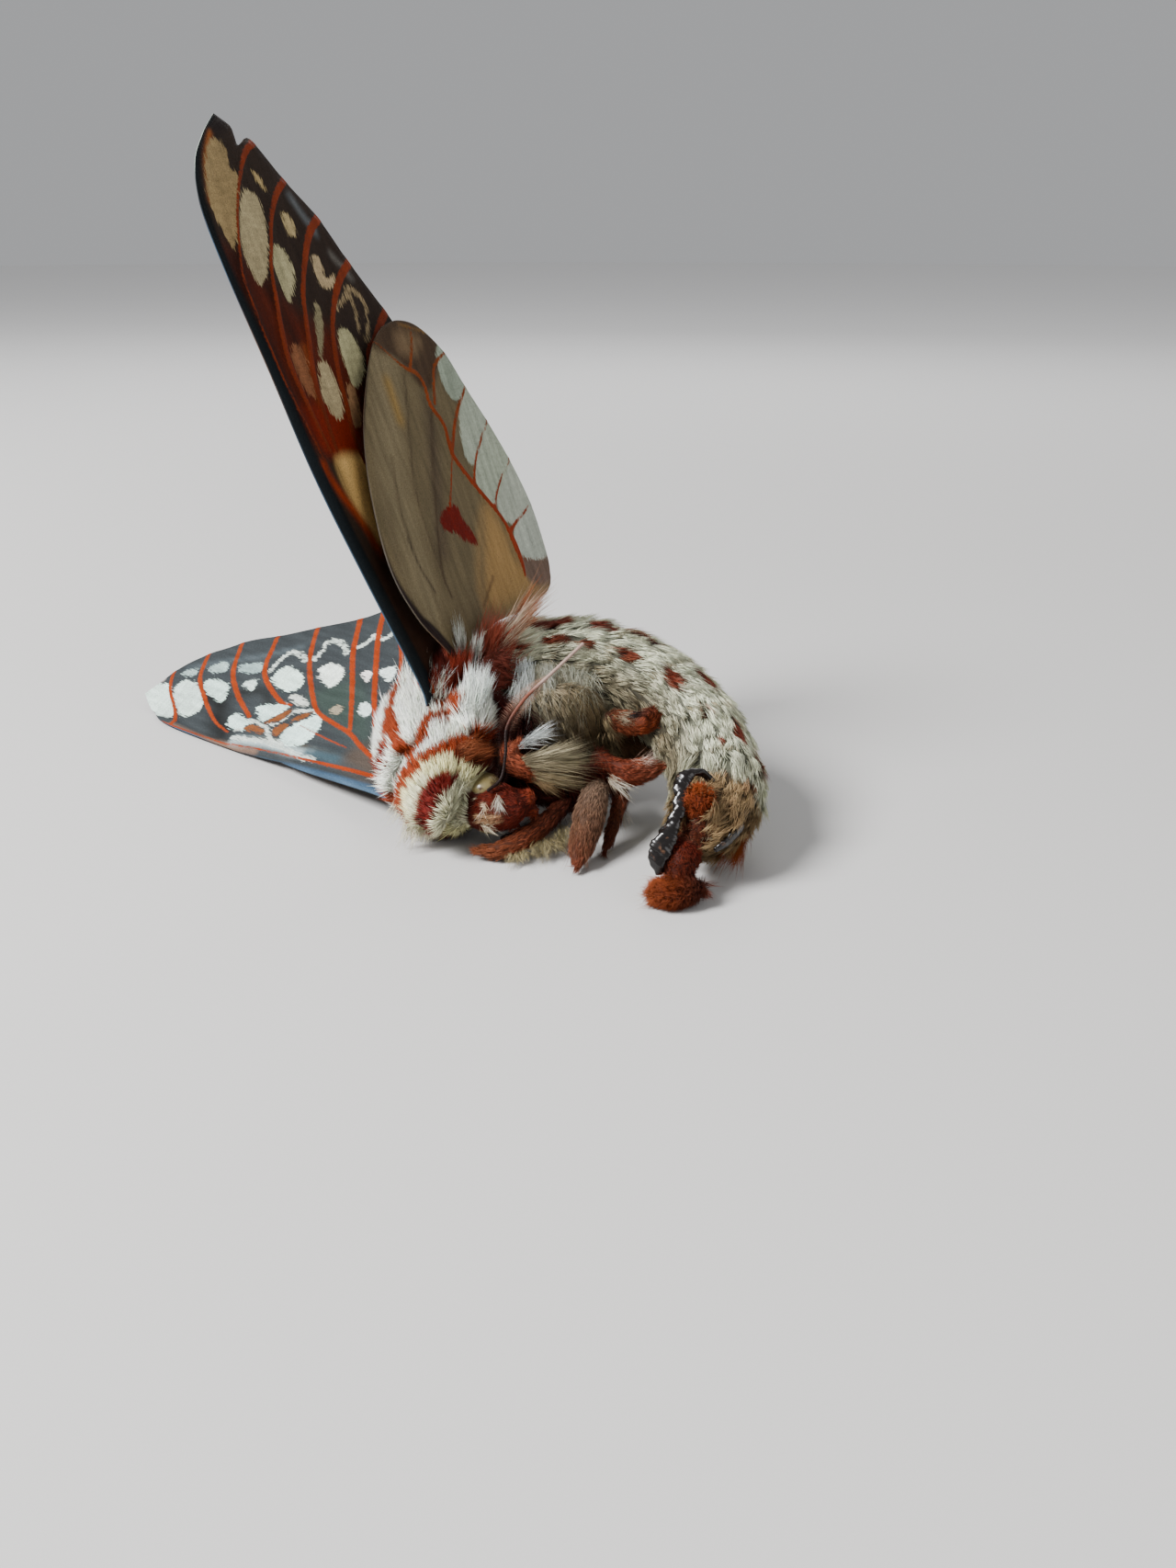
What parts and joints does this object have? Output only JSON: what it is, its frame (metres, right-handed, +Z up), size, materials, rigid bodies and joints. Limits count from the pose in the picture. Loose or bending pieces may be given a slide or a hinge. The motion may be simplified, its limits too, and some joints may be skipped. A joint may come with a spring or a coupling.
{
  "type": "royal moth, male",
  "caption": "Life-size male royal moth lying on its right side, wings raised and spread, hairy body curled to the belly, claspers open at the tip.",
  "frame": {"origin": "middle of the moth's outer box, at floor level", "axes": "+Z up from the floor, -Y to the picture's camera, +X to that camera's right; the head end is low and at -Y"},
  "size_m": [0.068, 0.0556, 0.0609],
  "materials": {
    "forewing_under": "matte scales, brown and brick red with cream patches",
    "forewing_upper": "matte scales, slate grey with white spots and orange veins",
    "hindwing_scales": "thin matte scales, grey beige",
    "thorax_hair": "long soft hair, cream with brick red bands",
    "collar_hair": "long soft hair, cream, ochre and red brown",
    "head_hair": "short dense hair, red brown",
    "eye_surface": "smooth, pale and speckled",
    "belly_hair": "long hair, grey beige",
    "abdomen_scales": "lying scales, pale cream with maroon spots",
    "leg_hair": "lying hair, orange red",
    "antenna_shaft": "matte maroon, pale at the end",
    "clasper_shell": "glossy black",
    "tip_hair": "short tufts, bright orange"
  },
  "bodies": {
    "root": {"abdomen_1": "abdomen_scales", "abdomen_2": "abdomen_scales", "abdomen_3": "abdomen_scales", "abdomen_4": "abdomen_scales", "abdomen_5": "abdomen_scales", "abdomen_6": "abdomen_scales", "abdomen_7": "abdomen_scales", "abdomen_tip": "tip_hair", "antenna_left": "antenna_shaft", "antenna_right": "antenna_shaft", "belly": "belly_hair", "clasper_left": "clasper_shell", "clasper_right": "clasper_shell", "collar": "collar_hair", "eye_left": "eye_surface", "eye_right": "eye_surface", "foreleg_left": "leg_hair", "foreleg_right": "leg_hair", "forewing_left": "forewing_under", "forewing_right": "forewing_upper", "head": "head_hair", "hindleg_left": "leg_hair", "hindleg_right": "leg_hair", "hindwing_left": "hindwing_scales", "hindwing_right": "hindwing_scales", "midleg_left": "leg_hair", "midleg_right": "leg_hair", "thorax": "thorax_hair", "tip_fringe": "tip_hair"}
  },
  "joints": []
}
